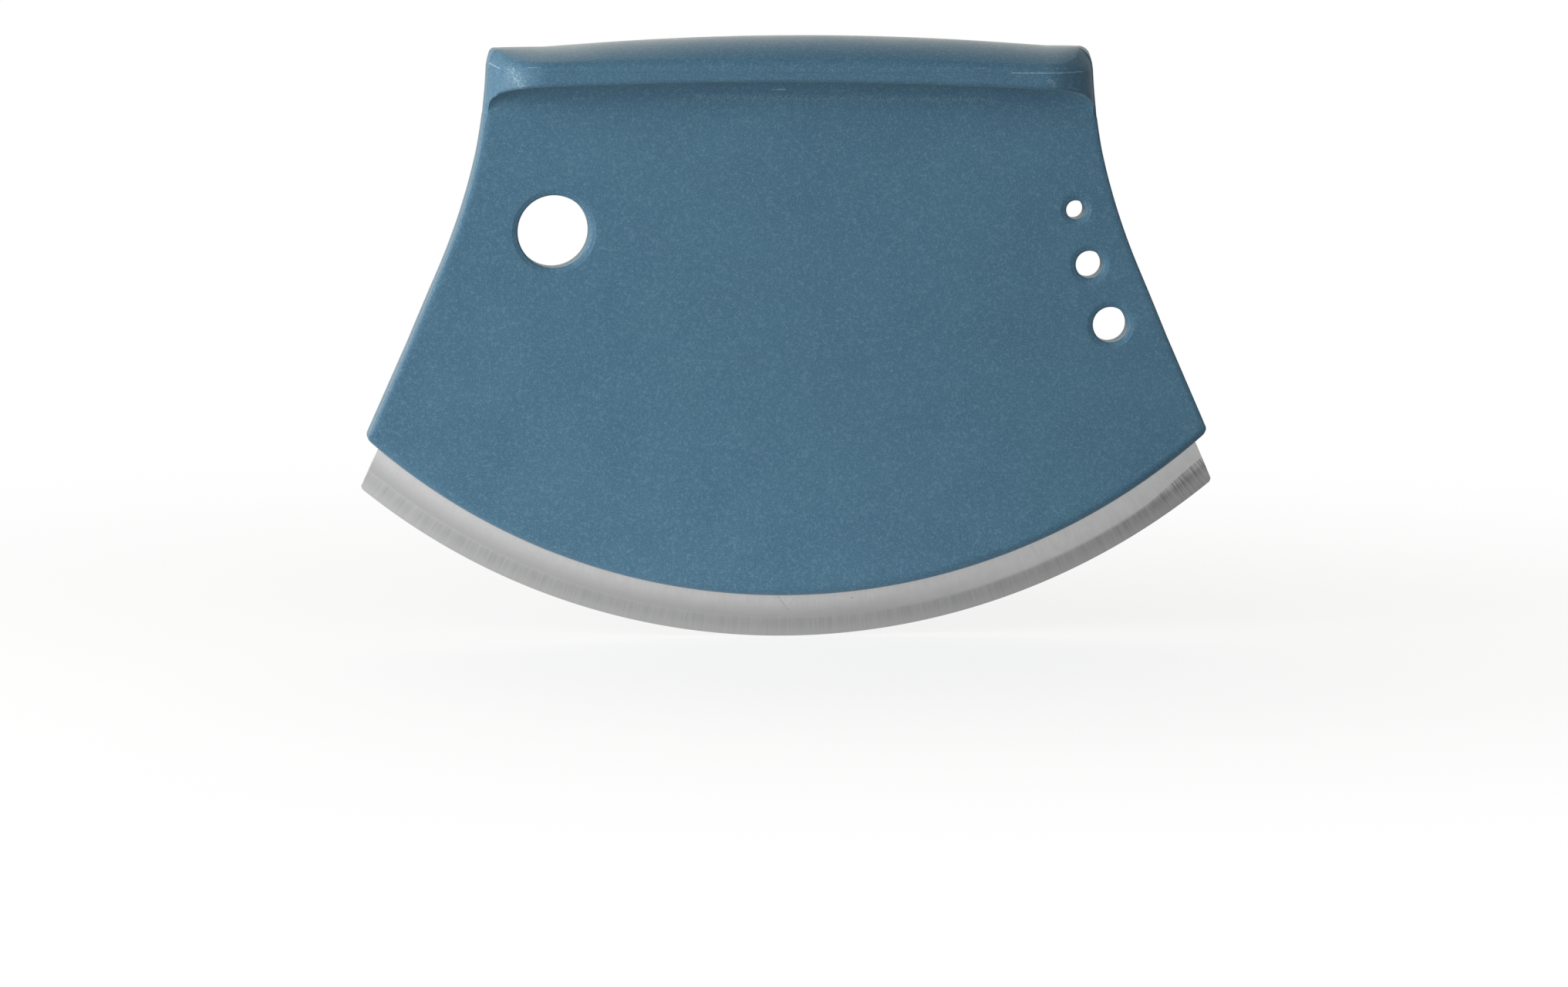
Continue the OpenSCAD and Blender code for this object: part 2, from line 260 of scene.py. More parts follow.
def round_corners(grid):
    """The grid with the plate's two lower corners rounded.

    p and q say how near a point is to the side line and to the lower arc: 1 on it, 0 at the
    corner's radius from it. The square where both are over 0 is squeezed into a quarter disc, and
    the rounded edge follows it, going over from the side's profile to the rim's.
    """
    x, y, z = np.abs(grid[..., 0]), -grid[..., 1], grid[..., 2] - EDGE_R
    cos, sin = math.cos(SIDE_ANGLE), math.sin(SIDE_ANGLE)
    line = SIDE_X * cos + (SIDE_Z - EDGE_R) * sin
    p = (CORNER_ROUND - line + x * cos + z * sin) / CORNER_ROUND
    q = (CORNER_ROUND - HANDLE_R + np.hypot(x, z)) / CORNER_ROUND
    inside = (p > 0) & (q > 0) & (z < 0)
    p, q = np.where(inside, p, 0), np.where(inside, q, 0)
    p, q = p * np.sqrt(1 - q ** 2 / 2), q * np.sqrt(1 - p ** 2 / 2)
    depth = CORNER_ROUND * (1 - np.hypot(p, q))
    share = p ** 2 / np.maximum(p ** 2 + q ** 2, 1e-9)
    thick = share * edge_profile(depth) + (1 - share) * (PLATE_HALF - round_over(depth, RIM_ROUND))
    along = line - CORNER_ROUND * (1 - p)
    reach = HANDLE_R - CORNER_ROUND * (1 - q)
    down = np.sqrt(np.maximum(reach ** 2 - along ** 2, 0))
    moved = np.stack([np.sign(grid[..., 0]) * (along * cos + down * sin),
                      -np.minimum(y, thick),
                      EDGE_R + along * sin - down * cos], axis=-1)
    return np.where(inside[..., None], moved, grid)


def seam_height(x):
    """Height of the seam between handle and cap, which drops a little from left to right."""
    return SEAM_Z + SEAM_LIFT - SEAM_TILT * x


def recess_edge(x):
    """Height of the flange's lower edge: a slow sag, then a quarter ellipse down at each side."""
    depth, tilt, sag = 2.0, 0.0105, 0.00048
    turn_start, turn_length, turn_down = 1.2, 10.9, 3.2
    turn = np.clip((np.abs(x) - END_X - turn_start) / turn_length, 0, 1)
    return SEAM_Z - depth - tilt * x - sag * x ** 2 - turn_down * (1 - np.sqrt(1 - turn ** 2))


def handle_front():
    """Front half of the handle as rows of points across it, from the lower parting edge to the seam.

    The rows go round the lower rim, up the flat plate, round the fillet under the grip, along the
    flange's underside, round its lower edge and up its face. Each point's thickness is also held
    within the rounded side edges and the grip's round ends.
    """
    place = stations(turns=44, spans=60)
    start, share = place
    rows = []

    def add(z, thick, x=None):
        """One row at a height and a half thickness, on the outline unless its x is given."""
        x = across(place, z) if x is None else x
        rows.append(np.stack([x, -np.broadcast_to(thick, x.shape), np.broadcast_to(z, x.shape)], axis=1))

    # Lower rim: parting edge, narrow flat, quarter circle
    for inset, thick in ((CHAMFER, PARTING), (0.0, CHAMFER), (0.0, PLATE_HALF - RIM_ROUND)):
        add(arc_height(place, HANDLE_R - inset), thick)
    for turn in quarter(10):
        z = arc_height(place, HANDLE_R - RIM_ROUND * (1 - math.cos(turn)))
        thick = PLATE_HALF - RIM_ROUND * (1 - math.sin(turn))
        add(z, np.minimum(thick, side_thickness(place, z)))

    # Flat plate up to the fillet. The height where it ends depends on its own x, so it is found
    # by going round from a first guess
    low = arc_height(place, HANDLE_R - RIM_ROUND)
    high = np.full(len(start), 105.0)
    for _ in range(30):
        edge = recess_edge(across(place, high))
        fillet = np.minimum(FILLET, edge - (SEAM_Z - FLANGE_DROP) - FLANGE_CLEAR)
        high = edge - fillet
    for step in shares(48):
        z = low + (high - low) * step
        add(z, side_thickness(place, z))

    # Fillet, underside, lower edge and face of the flange. Edge and blend widen at the sides
    face = np.maximum(GRIP_HALF * np.sqrt(1 - share ** 2), side_thickness(place, high))
    rounding, rise = 0.8, 0.1
    wider = rounding * share ** 4
    soft = rounding + wider
    blend = 0.01 + rounding * np.abs(share) + wider
    for turn in quarter(14):
        z = high + fillet * np.sin(turn)
        thick = side_thickness(place, z) + fillet * (1 - np.cos(turn))
        add(z, smooth_min(thick, face, blend))
    underside = smooth_min(side_thickness(place, edge) + fillet, face, blend)
    inner = np.maximum(face - soft, underside)
    for step in (0.35, 0.7, 1.0):
        add(edge + rise * step, underside + (inner - underside) * step)
    for turn in quarter(7):
        add(edge + rise + soft * (1 - math.cos(turn)), inner + (face - inner) * math.sin(turn))
    bottom = edge + rise + soft
    top_x = across(place, np.full(len(start), SEAM_Z))
    seam = seam_height(top_x)
    for step in shares(4):
        add(bottom + (seam - SEAM_ROUND - bottom) * step, face)
    for turn in np.radians((30, 60, 90)):
        draw = SEAM_ROUND * (1 - math.cos(turn))
        add(seam - SEAM_ROUND * (1 - math.sin(turn)), face - draw, top_x - draw * share)
    add(seam, PARTING, top_x - SEAM_ROUND * share)

    # Two more columns at each side close the side wall down to the parting line
    grid = np.stack(rows)
    sides = []
    for column, way in ((grid[:, :1], -1), (grid[:, -1:], 1)):
        near, parting = column.copy(), column.copy()
        near[..., 1] = np.maximum(near[..., 1], -CHAMFER)
        parting[..., 1] = -PARTING
        parting[..., 0] -= way * CHAMFER
        sides.append((parting, near) if way < 0 else (near, parting))
    return round_corners(np.concatenate([*sides[0], grid, *sides[1]], axis=1))


def ring_between(outer, inner):
    """Flat band of triangles between two closed loops of points that run the same way round.

    Each edge of the inner loop joins the outer point nearest to it in angle, and each edge of the
    outer loop joins the inner point where that nearest point changes. A triangle is written as
    four corners with the last one twice.
    """
    centre = inner.mean(axis=0)
    angle = np.unwrap(np.arctan2(outer[:, 2] - centre[2], outer[:, 0] - centre[0]))
    count, fine = len(outer), len(inner)
    switch = (angle + np.append(angle[1:], angle[0] + 2 * math.pi)) / 2
    step = 2 * math.pi / fine
    first = np.ceil((switch - 0.5 * step) / step).astype(int)
    edge = np.arange(first[-1] - fine, first[-1])
    nearest = np.searchsorted(first, edge, side="right") % count
    inside = np.stack([count + (edge + 1) % fine, count + edge % fine, nearest, nearest], axis=1)
    around, corner = np.arange(count), count + first % fine
    outside = np.stack([around, (around + 1) % count, corner, corner], axis=1)
    return np.concatenate([outer, inner]), np.concatenate([inside, outside])


def closed_half(outer):
    """Front half of the handle as a closed form: its outside, the parting plane and the holes.

    The parting sheet has the outside's x and z and shares its border. Round each hole, a block of
    faces leaves both sheets, a band of triangles joins the block's border to the hole, and the
    hole's dished rim and wall join the two sheets.
    """
    inner = outer * (1, 0, 1) - (0, PARTING, 0)
    keep = np.ones((outer.shape[0] - 1, outer.shape[1] - 1), bool)
    # Points on the plate's flat face, within a thousandth of a millimetre
    on_face = outer[..., 1] < -PLATE_HALF + 0.001
    angle = np.linspace(0, 2 * math.pi, HOLE_STEPS + 1)
    depth = np.append(HOLE_RIM[:, 1] - PLATE_HALF, -PARTING)
    sheets = []
    for x, z, radius in HOLES:
        inside = np.hypot(outer[..., 0] - x, outer[..., 2] - z) < radius + HOLE_CLEAR
        inside &= on_face
        rows, cols = np.flatnonzero(inside.any(axis=1)), np.flatnonzero(inside.any(axis=0))
        top, bottom = rows[-1] + 1, rows[0] - 1
        left, right = cols[0] - 1, cols[-1] + 1
        keep[bottom:top, left:right] = False
        reach = np.append(radius + HOLE_RIM[:, 0], radius + HOLE_FLARE)
        wall = np.stack([x + reach[:, None] * np.cos(angle)[None, :],
                         np.broadcast_to(depth[:, None], (len(depth), len(angle))),
                         z + reach[:, None] * np.sin(angle)[None, :]], axis=2)
        sheets.append(sheet_of(wall))
        for grid, ring, flip in ((outer, wall[0, :-1], False), (inner, wall[-1, :-1], True)):
            border = np.concatenate([
                grid[bottom, left:right], grid[bottom:top, right],
                grid[top, left + 1:right + 1][::-1], grid[bottom + 1:top + 1, left][::-1]])
            points, faces = ring_between(border, ring)
            sheets.append((points, faces[:, ::-1] if flip else faces))
    return [sheet_of(outer, keep=keep), sheet_of(inner, flip=True, keep=keep)] + sheets


def behind(sheets):
    """The same sheets mirrored to the back of the parting plane, with their faces turned to suit."""
    return [(points * (1, -1, 1), faces[:, ::-1]) for points, faces in sheets]


# Shape of the cap ------------------------------------------------------------------------------

def ridge_height(x):
    """Height of the crown's ridge above the seam: an arch that runs out level at both ends."""
    ends, tilt = 4.38, 0.0053
    rise, middle, reach, power = 2.35, 1.3, 53.8, 1.07
    return ends + tilt * x + rise * np.maximum(1 - ((x - middle) / reach) ** 2, 0) ** power


def crown_height(x, fall):
    """Height of the crown above the seam, where fall is the squared share of the way to its side.

    The section is a low wall with an arch on it, flatter at the ends of the grip. The wall is
    lowest at the right end.
    """
    wall, right_drop, left_drop = 2.0, 1.2, 0.6
    # Squared share of the way to the end of the grip
    way = (x / 60) ** 2
    spring = wall - np.where(x > 0, right_drop, left_drop) * np.minimum(way, 1.1)
    power = 0.86 + 0.08 * np.minimum(way, 1)
    return spring + (ridge_height(x) - spring) * np.maximum(1 - fall, 0) ** power


def grip_cap():
    """Cap as rings of points from its lower edge up its wall, over the shoulder and in to the ridge.

    Each ring is the grip's oval drawn in by a share. The crown is an arch across the grip, so its
    wall grows taller round the two ends. The corner between wall and crown is a conic, tight along
    the sides and wider at the ends.
    """
    turns, spans = 60, 60
    angle = np.linspace(0, math.pi, 2 * turns + 1)
    line = np.linspace(-END_X, END_X, spans + 1)
    round_end, straight = np.ones(2 * turns + 1), np.ones(spans - 1)
    start = np.concatenate([END_X * round_end, line[::-1][1:-1], -END_X * round_end, line[1:-1], [END_X]])
    way_x = np.concatenate([np.sin(angle), 0 * straight, -np.sin(angle), 0 * straight, [0]])
    way_y = np.concatenate([-np.cos(angle), straight, np.cos(angle), -straight, [-1]])
    tip, on_right = np.abs(way_x), way_x > 0

    # Plan of the lower edge: the oval, widened near its tips to the plate's rounded thickness
    blunt = np.where(np.abs(way_y) > 1e-9, edge_profile(GRIP_HALF * (1 - tip)), 0)
    wide = np.sign(way_y) * np.maximum(GRIP_HALF * np.abs(way_y), blunt)
    draft, gap = 0.5, 0.008
    inner = GRIP_HALF - draft
    rows = []

    def add(draw, lift):
        """One ring, drawn in by a distance, lifted above the seam."""
        x = start + way_x * (GRIP_HALF - draw)
        y = wide * (1 - draw / GRIP_HALF)
        rows.append(np.stack([x, y, seam_height(x) + np.broadcast_to(lift, x.shape)], axis=1))

    def crown(draw):
        """Height above the seam on the ring drawn in by a distance from the wall's outline.

        The arch spans the oval's width at each place and a little more towards the tips, so the
        wall stays low round the ends.
        """
        reach, side = way_x * (inner - draw), wide * (inner - draw) / GRIP_HALF
        span = np.maximum(inner ** 2 - reach ** 2, side ** 2) + np.where(on_right, 12.0, 5.0) * tip
        return crown_height(start + reach, side ** 2 / span)

    for turn in np.radians((90, 60, 30, 0)):
        add(SEAM_ROUND * (1 - math.cos(turn)), gap + SEAM_ROUND * (1 - math.sin(turn)))

    # Wall up to the start of the corner, which is rounder at the right end than at the left
    side_corner, right_corner, left_corner = 0.9, 2.4, 1.1
    top = crown(0.0)
    corner = side_corner + (np.where(on_right, right_corner, left_corner) - side_corner) * tip ** 3
    wall = top - np.minimum(corner, 0.75 * top)
    for step in shares(5):
        add(draft * step * wall / top, SEAM_ROUND + gap + (wall - SEAM_ROUND - gap) * step)
    # Corner as a conic from the wall to the crown. A larger weight pulls it towards its apex
    weight = 0.72 + 0.2 * (1 - tip) ** 2
    for step in shares(10):
        near, middle, far = (1 - step) ** 2, 2 * step * (1 - step) * weight, step ** 2
        total = near + middle + far
        add((near * draft * wall / top + middle * draft + far * (draft + corner)) / total,
            (near * wall + middle * top + far * crown(corner)) / total)

    # Crown in to the ridge
    for turn in quarter(36):
        draw = corner + (inner - corner) * (1 - np.cos(turn))
        add(draft + draw, crown(draw))
    shell = np.stack(rows)
    base = np.stack([shell[0], shell[0] * (1, 0, 1)])
    return [sheet_of(shell), sheet_of(base, flip=True)]


# Shape of the blade ----------------------------------------------------------------------------

def steel_blade():
    """Blade as rings round its section, carried along the arc from one end to the other.

    A section is the blade's thickness against distance from the arc's centre: tang, flat, ground
    bevel and thin edge. The ends follow the plate's sides and round into a blunt tip.
    """
    half, thin = 0.75, 0.15
    edge = EDGE_R - 0.02
    corner = EDGE_R - BEVEL
    bend = 0.5
    outer = np.concatenate([
        np.linspace(TANG_R, corner - bend, 24),
        np.linspace(corner - bend, corner + bend, 7)[1:],
        np.linspace(corner + bend, edge, 10)[1:],
    ])
    slope = (half - thin) / BEVEL
    # Thickness turns from flat to bevel by a parabola, over the bend on both sides of the corner
    past = np.clip(outer - corner + bend, 0, 2 * bend)
    thick = half - slope * np.where(outer < corner + bend, past ** 2 / (4 * bend), outer - corner)
    radius = np.concatenate([outer, outer[::-1], outer[:1]])
    y = np.concatenate([-thick, thick[::-1], -thick[:1]])

    # Half length of each ring: where its arc meets a line inset from the plate's side
    inset, tip, blunt = 3.2, 0.6, 0.8
    reach = np.full(len(radius), 80.0)
    for _ in range(60):
        z = EDGE_R - np.sqrt(radius ** 2 - reach ** 2)
        reach = SIDE_X + (SIDE_Z - z) * math.tan(SIDE_ANGLE) - inset / math.cos(SIDE_ANGLE)
    over = np.clip(radius - (edge - tip), 0, tip)
    reach = reach - (tip - np.sqrt(np.maximum(tip ** 2 - over ** 2, 0))) * blunt
    x = reach[:, None] * np.linspace(-1, 1, 241)[None, :]
    z = EDGE_R - np.sqrt(radius[:, None] ** 2 - x ** 2)
    grid = np.stack([x, np.broadcast_to(y[:, None], x.shape), z], axis=2)

    # A strip from front to back closes each end
    rings = len(outer)
    ends = []
    for column, at_right in ((0, False), (-1, True)):
        front, back = grid[:rings, column], grid[rings:2 * rings, column][::-1]
        ends.append(sheet_of(np.stack([front, back], axis=1), flip=at_right))
    return [sheet_of(grid, flip=True)] + ends


# Materials -------------------------------------------------------------------------------------

class Nodes:
    """Short hand for building a node tree. A value given to an input can be another node's output."""

    def __init__(self, tree):
        self.tree = tree

    def put(self, socket, value):
        """Links a socket to an output, or sets its value."""
        if isinstance(value, bpy.types.NodeSocket):
            self.tree.links.new(value, socket)
        else:
            socket.default_value = value

    def node(self, kind, inputs=None, **settings):
        """New node with its settings and the inputs that are given by name or number."""
        node = self.tree.nodes.new(kind)
        for key, value in settings.items():
            setattr(node, key, value)
        for key, value in (inputs or {}).items():
            self.put(node.inputs[key], value)
        return node

    def math(self, operation, a, b=0.0):
        """One or two numbers put through an operation."""
        return self.node("ShaderNodeMath", {0: a, 1: b}, operation=operation).outputs[0]

    def plus(self, a, b):
        return self.math("ADD", a, b)

    def minus(self, a, b):
        return self.math("SUBTRACT", a, b)

    def times(self, a, b):
        return self.math("MULTIPLY", a, b)

    def larger(self, a, b):
        return self.math("MAXIMUM", a, b)

    def spread(self, value, low, high, to_low=0.0, to_high=1.0):
        """Smooth step from one value to another while the input goes from low to high."""
        return self.node("ShaderNodeMapRange", {0: value, 1: low, 2: high, 3: to_low, 4: to_high},
                         interpolation_type="SMOOTHSTEP").outputs[0]

    def vector(self, operation, a, b=(0, 0, 0)):
        """One or two vectors put through an operation, which gives a vector or a number."""
        node = self.node("ShaderNodeVectorMath", {0: a, 1: b}, operation=operation)
        return node.outputs["Value" if operation in ("DOT_PRODUCT", "LENGTH") else "Vector"]

    def split(self, vector):
        """The three parts of a vector."""
        return self.node("ShaderNodeSeparateXYZ", {0: vector}).outputs

    def noise(self, vector, scale, detail, roughness):
        """Noise from 0 to 1, with its scale per unit of the vector."""
        return self.node("ShaderNodeTexNoise", {"Vector": vector, "Scale": scale, "Detail": detail,
                                                "Roughness": roughness}).outputs[0]

    def mix(self, factor, a, b):
        """Colour a where the factor is 0, colour b where it is 1."""
        return self.node("ShaderNodeMix", {0: factor, 6: a, 7: b}, data_type="RGBA").outputs[2]


def group(name, inputs, outputs):
    """New shader node group with named inputs and outputs; returns its nodes and its two ends."""
    tree = bpy.data.node_groups.new(name, "ShaderNodeTree")
    for label, kind in inputs:
        tree.interface.new_socket(label, in_out="INPUT", socket_type=kind)
    for label, kind in outputs:
        tree.interface.new_socket(label, in_out="OUTPUT", socket_type=kind)
    nodes = Nodes(tree)
    return nodes, nodes.node("NodeGroupInput").outputs, nodes.node("NodeGroupOutput").inputs


def colour(red, green, blue):
    """Colour from 0 to 255 screen values, by the sRGB curve, as the linear values that sockets take."""
    parts = np.array([red, green, blue]) / 255
    linear = np.where(parts <= 0.04045, parts / 12.92, ((parts + 0.055) / 1.055) ** 2.4)
    return (*linear.tolist(), 1.0)


def new_material(name):
    """Empty material with an output; returns the material, its nodes and the output's surface input."""
    material = bpy.data.materials.new(name)
    material.use_nodes = True
    material.node_tree.nodes.clear()
    nodes = Nodes(material.node_tree)
    return material, nodes, nodes.node("ShaderNodeOutputMaterial").inputs[0]


def speckle_group():
    """Fine pale speckle of the filled plastic, with a slow drift of shade."""
    number = "NodeSocketFloat"
    nodes, given, result = group("speckle", [("Vector", "NodeSocketVector")],
                                 [("Speck", number), ("Drift", number)])
    point = given["Vector"]
    fine = nodes.spread(nodes.noise(point, scale=4600.0, detail=1.0, roughness=0.6), 0.46, 0.78)
    broad = nodes.spread(nodes.noise(point, scale=1500.0, detail=2.0, roughness=0.6), 0.45, 0.8)
    nodes.put(result["Speck"], nodes.plus(fine, nodes.times(broad, 0.6)))
    nodes.put(result["Drift"], nodes.noise(point, scale=70.0, detail=4.0, roughness=0.6))
    return nodes.tree


def mark_group():
    """How much a straight mark covers a point of the front: one inside, none outside. Marks are rubs,
    scratches and painted highlights.

    The distance to the line between two ends is compared with the mark's width, and fine noise
    breaks the mark up into flecks.
    """
    vector, number = "NodeSocketVector", "NodeSocketFloat"
    nodes, given, result = group("worn mark", [("Vector", vector), ("From", vector), ("To", vector),
                                               ("Width", number), ("Gaps", number)], [("Mask", number)])
    flat = nodes.vector("MULTIPLY", given["Vector"], (1, 0, 1))
    way = nodes.vector("SUBTRACT", given["To"], given["From"])
    rest = nodes.vector("SUBTRACT", flat, given["From"])
    share = nodes.math("DIVIDE", nodes.vector("DOT_PRODUCT", rest, way),
                       nodes.vector("DOT_PRODUCT", way, way))
    share = nodes.math("MINIMUM", nodes.larger(share, 0.0), 1.0)
    nearest = nodes.node("ShaderNodeVectorMath", {0: way, "Scale": share}, operation="SCALE").outputs[0]
    away = nodes.vector("LENGTH", nodes.vector("SUBTRACT", rest, nearest))
    inside = nodes.minus(1.0, nodes.math("DIVIDE", away, given["Width"]))
    fleck = nodes.noise(given["Vector"], scale=2300.0, detail=3.0, roughness=0.7)
    flecks = nodes.minus(fleck, given["Gaps"])
    cover = nodes.spread(nodes.plus(inside, nodes.times(flecks, 4.0)), 0.4, 1.4)
    cover = nodes.times(cover, nodes.spread(inside, 0.0, 0.5))
    front = nodes.math("LESS_THAN", nodes.split(given["Vector"])[1], 0.0)
    nodes.put(result["Mask"], nodes.times(cover, front))
    return nodes.tree


def wear_and_highlight(nodes, mark_tree, marks, point, base, pale):
    """The base colour with a list of marks laid over it, rubs, scratches and painted highlights, each as
    ends, width, gaps and strength.
    """
    for x1, z1, x2, z2, width, gaps, strength in marks:
        mark = nodes.node("ShaderNodeGroup", {
            "Vector": point, "From": (x1 * MM, 0, z1 * MM), "To": (x2 * MM, 0, z2 * MM),
            "Width": width * MM, "Gaps": gaps}, node_tree=mark_tree)
        base = nodes.mix(nodes.times(mark.outputs["Mask"], strength), base, pale)
    return base


def plastic_material(name, speckle, mark_tree):
    """Grey blue matte plastic with fine speckle, a few pale rub marks and painted highlights along the
    seam at the grip's ends.
    """
    material, nodes, surface = new_material(name)
    point = nodes.node("ShaderNodeTexCoord").outputs["Object"]
    grain = nodes.node("ShaderNodeGroup", {"Vector": point}, node_tree=speckle).outputs
    speck, drift = grain["Speck"], grain["Drift"]
    base = nodes.mix(nodes.spread(drift, 0.3, 0.7), colour(61, 105, 132), colour(66, 111, 137))
    base = nodes.mix(nodes.times(speck, 0.5), base, colour(120, 160, 180))
    # Pale rub marks, and painted highlights along the seam at the grip's ends
    base = wear_and_highlight(nodes, mark_tree, RUBS_AND_SEAM_HIGHLIGHTS, point, base, colour(140, 172, 188))
    rough = nodes.spread(drift, 0.3, 0.7, 0.50, 0.58)
    bump = nodes.node("ShaderNodeBump", {"Strength": 0.12, "Distance": 0.0001, "Height": speck})
    shader = nodes.node("ShaderNodeBsdfPrincipled", {
        "Base Color": base, "Roughness": rough, "Normal": bump.outputs[0], "Sheen Weight": 0.3,
        "Sheen Roughness": 0.4, "Sheen Tint": (1, 0.95, 0.85, 1)})
    nodes.put(surface, shader.outputs[0])
    return material


def steel_material(name, mark_tree):
    """Satin steel: a cross-brushed flat and a ground bevel with streaks straight towards the edge.

    The flat is darkened towards the bevel by painted shade, and a thin painted highlight runs
    where they meet. The bevel is palest at its edge. Towards the right tip it grows wider and
    more streaked, and painted shade makes it darker.
    """
    material, nodes, surface = new_material(name)
    point = nodes.node("ShaderNodeTexCoord").outputs["Object"]
    x, y, z = nodes.split(point)
    down = nodes.minus(EDGE_R * MM, z)
    angle = nodes.math("ARCTAN2", x, down)
    radius = nodes.math("SQRT", nodes.plus(nodes.math("POWER", x, 2.0), nodes.math("POWER", down, 2.0)))

    def streaks(round_scale, out_scale):
        """Noise stretched away from the arc's centre, with scales along the arc and outwards."""
        polar = nodes.node("ShaderNodeCombineXYZ", {0: nodes.times(angle, round_scale * EDGE_R),
                                                    1: nodes.times(radius, out_scale / MM),
                                                    2: nodes.times(y, 0.4 / MM)})
        return nodes.noise(polar.outputs[0], scale=1.0, detail=3.0, roughness=0.6)

    patches = nodes.noise(point, scale=450.0, detail=3.0, roughness=0.6)
    brushed = nodes.plus(nodes.times(streaks(2.2, 0.35), 0.6), nodes.times(patches, 0.4))
    ground = nodes.plus(nodes.times(streaks(4.5, 0.07), 0.6), nodes.times(streaks(1.1, 0.07), 0.4))

    shifted = nodes.plus(radius, nodes.spread(angle, 0.54, 0.68, 0.0, 1.4 * MM))
    corner = (EDGE_R - BEVEL) * MM

    def band(low, high, to_low=0.0, to_high=1.0):
        """Smooth step outwards between two distances in millimetres from where the bevel starts."""
        return nodes.spread(shifted, corner + low * MM, corner + high * MM, to_low, to_high)

    bevel_base = nodes.mix(nodes.spread(ground, 0.3, 0.7), colour(202, 203, 204), colour(222, 222, 223))
    # Painted shade: the bevel darkens towards the right tip, where its streaks also grow stronger
    streaked_tip_with_painted_shade = nodes.mix(nodes.spread(ground, 0.38, 0.62), colour(146, 146, 148), colour(210, 210, 211))
    bevel_base = nodes.mix(nodes.times(nodes.spread(angle, 0.48, 0.68), 0.85), bevel_base, streaked_tip_with_painted_shade)
    bevel_base = nodes.mix(nodes.times(band(1.2, 3.6), 0.5), bevel_base, colour(236, 236, 236))
    flat_base = nodes.mix(nodes.spread(brushed, 0.3, 0.7), colour(228, 228, 229), colour(236, 236, 236))
    # Painted shade: the flat darkens over the last 4.5 mm before the bevel, less towards the right tip
    shade = nodes.times(band(-4.5, 0.0), nodes.spread(angle, 0.1, 0.42, 1.0, 0.3))
    flat_base = nodes.mix(shade, flat_base, colour(202, 202, 203))
    bevel = band(-0.3, 0.3)
    base = nodes.mix(bevel, flat_base, bevel_base)
    # Painted highlight: a thin pale line along where the flat meets the bevel
    line = nodes.times(band(-0.5, -0.1), band(-0.1, 0.3, 1.0, 0.0))
    base = nodes.mix(nodes.times(line, 0.25), base, colour(236, 236, 236))
    base = wear_and_highlight(nodes, mark_tree, SCRATCHES, point, base, colour(150, 150, 152))

    streak = nodes.node("ShaderNodeMix", {0: bevel, 2: brushed, 3: ground}).outputs[0]
    rough = nodes.spread(streak, 0.3, 0.7, 0.32, 0.40)
    bump = nodes.node("ShaderNodeBump", {"Strength": 0.25, "Distance": 0.00003, "Height": streak})
    shader = nodes.node("ShaderNodeBsdfPrincipled", {
        "Base Color": base, "Metallic": 1.0, "Roughness": rough, "Normal": bump.outputs[0]})
    nodes.put(surface, shader.outputs[0])
    return material


# Stage: floor, light and camera ----------------------------------------------------------------

def build_floor():
    """Wide pale floor that turns into the white background and keeps a soft shadow near the knife.

    The camera sees mostly plain white with a share of the lit floor. Reflections and scattered
    light get a glow of their own, stronger at the left than at the right.
    """
    half = 6.0
    mesh = bpy.data.meshes.new("floor")
    mesh.from_pydata([(-half, -half, 0), (half, -half, 0), (half, half, 0), (-half, half, 0)], [],
                     [(0, 1, 2, 3)])
    floor = bpy.data.objects.new("floor", mesh)
    bpy.context.collection.objects.link(floor)
    material, nodes, surface = new_material("pale floor")
    point = nodes.node("ShaderNodeTexCoord").outputs["Object"]
    x, y, _ = nodes.split(point)
    far = nodes.vector("LENGTH", point)
    path = nodes.node("ShaderNodeLightPath").outputs
    camera_ray, glossy_ray = path["Is Camera Ray"], path["Is Glossy Ray"]
    scattered_ray = nodes.minus(1.0, nodes.larger(camera_ray, glossy_ray))
    shade = nodes.mix(camera_ray, (0.35, 0.35, 0.35, 1), (0.93, 0.93, 0.93, 1))
    matte = nodes.node("ShaderNodeBsdfDiffuse", {0: shade})
    mirrored = nodes.times(nodes.spread(y, -0.3, 0.0, 1.0, 0.55), glossy_ray)
    given = nodes.times(nodes.plus(mirrored, nodes.times(scattered_ray, 1.6)),
                        nodes.spread(x, -0.12, 0.16, 1.0, 0.35))
    glow = nodes.node("ShaderNodeEmission", {0: WHITE, 1: nodes.larger(camera_ray, given)})
    seen = nodes.times(nodes.spread(far, 0.05, 0.35, 0.8, 1.0), camera_ray)
    near = nodes.times(nodes.spread(far, 0.04, 0.14, 0.55, 0.0), scattered_ray)
    share = nodes.larger(nodes.larger(seen, near), glossy_ray)
    blend = nodes.node("ShaderNodeMixShader", {0: share, 1: matte.outputs[0], 2: glow.outputs[0]})
    nodes.put(surface, blend.outputs[0])
    mesh.materials.append(material)


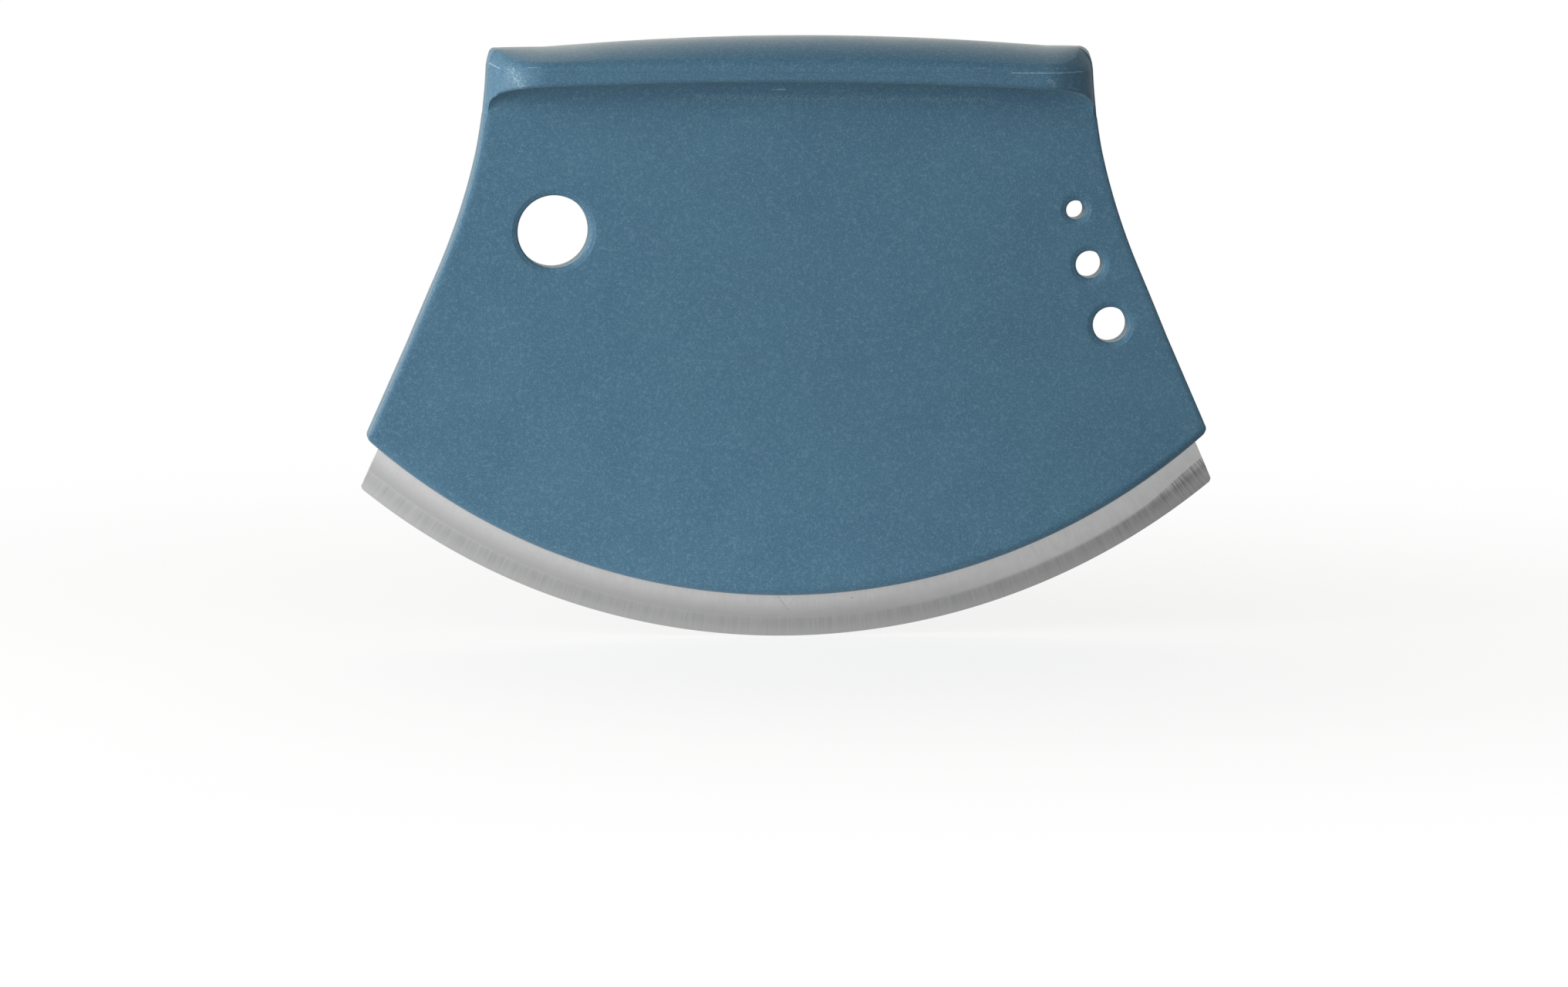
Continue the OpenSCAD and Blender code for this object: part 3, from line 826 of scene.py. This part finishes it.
def build_light():
    """White room as the camera sees it, a dimmer one for all other rays, and one soft lamp.

    The dimmer room is brighter from the left than from the right and dark overhead. It has a key
    light low at the front left, a weaker fill at the front right, a warm light behind and a card
    in front that only reflections meet.
    """
    world = bpy.data.worlds.new("room")
    bpy.context.scene.world = world
    world.use_nodes = True
    world.node_tree.nodes.clear()
    nodes = Nodes(world.node_tree)
    output = nodes.node("ShaderNodeOutputWorld")
    toward = nodes.node("ShaderNodeTexCoord").outputs["Generated"]
    x, y, z = nodes.split(toward)
    path = nodes.node("ShaderNodeLightPath").outputs
    camera_ray = path["Is Camera Ray"]

    def light_from(way, low, high, strength):
        """Soft light from one way: full where the cosine to it is over high, none under low."""
        return nodes.spread(nodes.vector("DOT_PRODUCT", toward, way), low, high, 0.0, strength)

    room = nodes.times(nodes.spread(x, -0.95, 1.1, 0.9, 0.12), nodes.spread(z, 0.2, 0.9, 1.0, 0.3))
    key = light_from((-0.42, -0.87, 0.27), 0.5, 0.95, 1.0)
    fill = light_from((0.62, -0.77, 0.14), 0.7, 0.97, 0.36)
    rear = light_from((0, 0.94, 0.34), 0.6, 0.97, 1.8)
    card = nodes.times(nodes.spread(y, -0.95, -0.75, 0.8, 0.0), path["Is Glossy Ray"])
    room = nodes.larger(nodes.plus(room, fill), nodes.larger(key, rear))
    room = nodes.larger(room, card)
    hidden = nodes.minus(1.0, camera_ray)
    strength = nodes.plus(camera_ray, nodes.times(hidden, room))
    tint = nodes.mix(nodes.times(nodes.spread(y, -0.2, 0.5), hidden), WHITE, (1, 0.97, 0.86, 1))
    light = nodes.node("ShaderNodeBackground", {0: tint, 1: strength})
    nodes.put(output.inputs[0], light.outputs[0])

    lamp = bpy.data.lights.new("soft box", "AREA")
    lamp.shape = "RECTANGLE"
    lamp.size, lamp.size_y = 0.35, 0.35
    lamp.energy = 2.35
    box = bpy.data.objects.new("soft box", lamp)
    bpy.context.collection.objects.link(box)
    place, target = Vector((-0.50, -0.19, 0.16)), Vector((0.0, 0.0, 0.06))
    box.location = place
    box.rotation_euler = (target - place).to_track_quat("-Z", "Y").to_euler()


def build_camera():
    """Long lens in front of the knife, a little to its left and above it."""
    turn, rise, roll = math.radians(7.33), math.radians(7.0), math.radians(-0.36)
    distance = 3.843
    aim_at = Vector((-0.64 * MM, 0, 30.47 * MM))
    ahead = Vector((math.sin(turn) * math.cos(rise), math.cos(turn) * math.cos(rise), -math.sin(rise)))
    right = Vector((math.cos(turn), -math.sin(turn), 0))
    up = right.cross(ahead)
    cos, sin = math.cos(roll), math.sin(roll)
    right, up = right * cos - up * sin, right * sin + up * cos
    data = bpy.data.cameras.new("camera")
    data.sensor_width = SENSOR
    data.lens = SENSOR * distance / MM * PIXELS_PER_MM / PHOTO_WIDTH
    data.clip_end = 50
    camera = bpy.data.objects.new("camera", data)
    bpy.context.collection.objects.link(camera)
    turned = Matrix((right, up, -ahead)).transposed().to_4x4()
    camera.matrix_world = Matrix.Translation(aim_at - ahead * distance) @ turned
    bpy.context.scene.camera = camera


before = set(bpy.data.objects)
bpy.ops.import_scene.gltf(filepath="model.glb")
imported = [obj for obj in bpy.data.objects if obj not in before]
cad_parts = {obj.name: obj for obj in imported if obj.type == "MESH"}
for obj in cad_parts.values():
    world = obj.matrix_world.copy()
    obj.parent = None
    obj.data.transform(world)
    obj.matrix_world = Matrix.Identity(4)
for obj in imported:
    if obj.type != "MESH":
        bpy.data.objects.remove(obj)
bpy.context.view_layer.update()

mark_tree = mark_group()
plastic = plastic_material("blue plastic", speckle_group(), mark_tree)
steel = steel_material("satin steel", mark_tree)

half = closed_half(handle_front())
front = mesh_piece("handle_front", half, plastic)
back = mesh_piece("handle_back", behind(half), plastic)
cap = mesh_piece("cap", grip_cap(), plastic)
blade = mesh_piece("steel_blade", steel_blade(), steel)

for piece, node, slot in ((front, "front_shell", "plastic"), (back, "back_shell", "plastic"),
                          (cap, "grip_cap", "plastic"), (blade, "blade", "steel")):
    weigh_normals(piece)
    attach(piece, "root")
    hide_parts(node)

build_floor()
build_light()
build_camera()
bpy.context.scene.view_settings.view_transform = "Standard"
